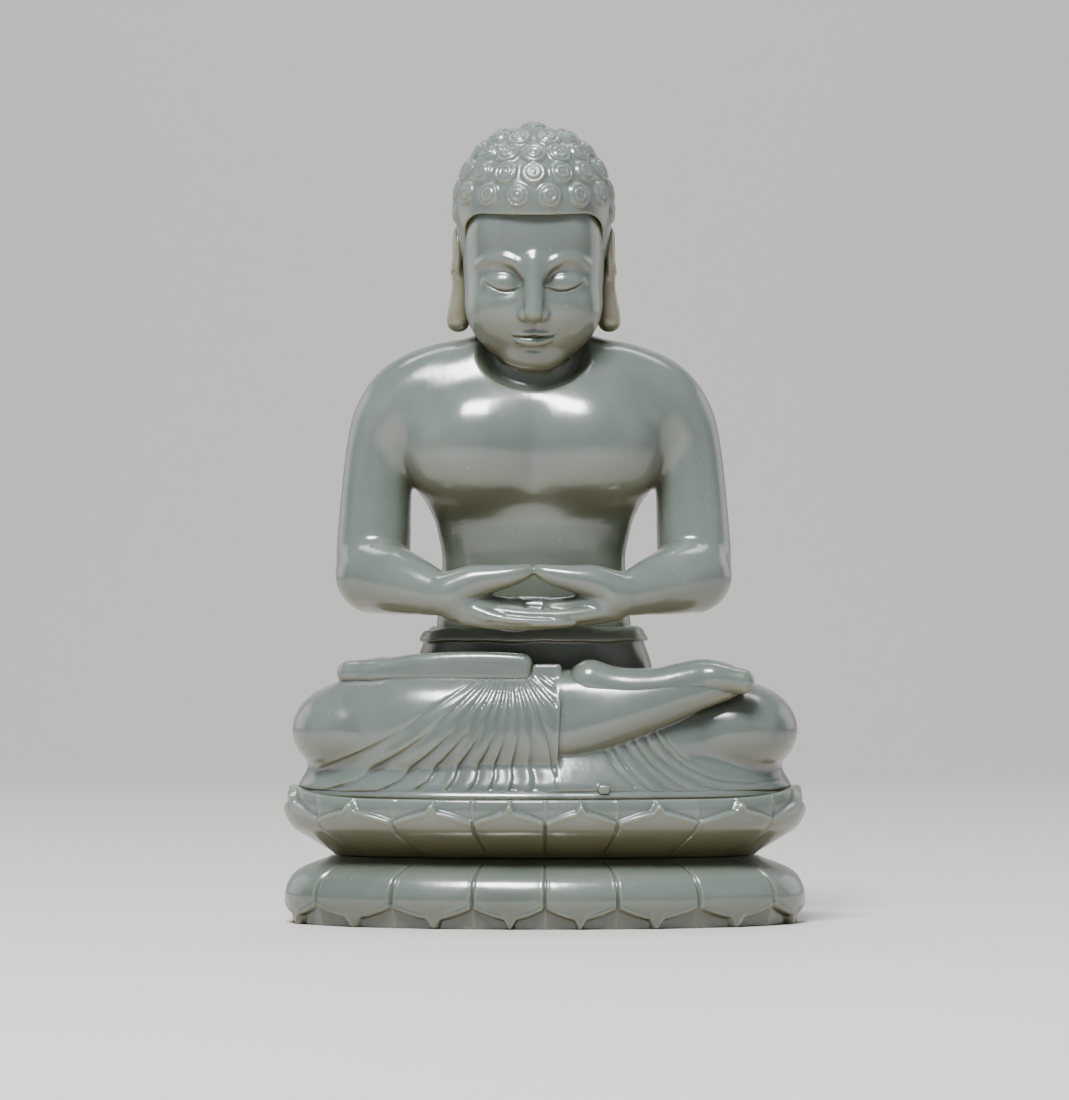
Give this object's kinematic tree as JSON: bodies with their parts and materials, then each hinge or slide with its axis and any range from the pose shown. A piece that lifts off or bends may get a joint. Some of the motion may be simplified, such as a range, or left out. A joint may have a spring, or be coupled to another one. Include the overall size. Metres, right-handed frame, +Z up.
{
  "type": "jade figurine",
  "caption": "Pale celadon jade figurine of a figure seated in meditation on an oval double lotus throne, with curled hair, a pleated robe over crossed legs and hands joined in the lap.",
  "frame": {"origin": "middle of the throne's flat underside, on the surface it stands on", "axes": "+Z up, -Y is the figure's front, +X is to the right of someone facing the figure"},
  "size_m": [0.1298, 0.0676, 0.1997],
  "materials": {
    "jade": "gloss",
    "jade_deep": "gloss",
    "jade_thin": "gloss"
  },
  "bodies": {
    "root": {"lotus_lower": "jade", "lotus_upper": "jade", "seat": "jade", "lap_robe": "jade", "foot_left": "jade", "foot_right": "jade", "sash": "jade", "torso": "jade", "arm_left": "jade", "arm_right": "jade", "hand_left": "jade", "hand_right": "jade", "head": "jade", "hair": "jade_deep", "ear_left": "jade_thin", "ear_right": "jade_thin"}
  },
  "joints": []
}
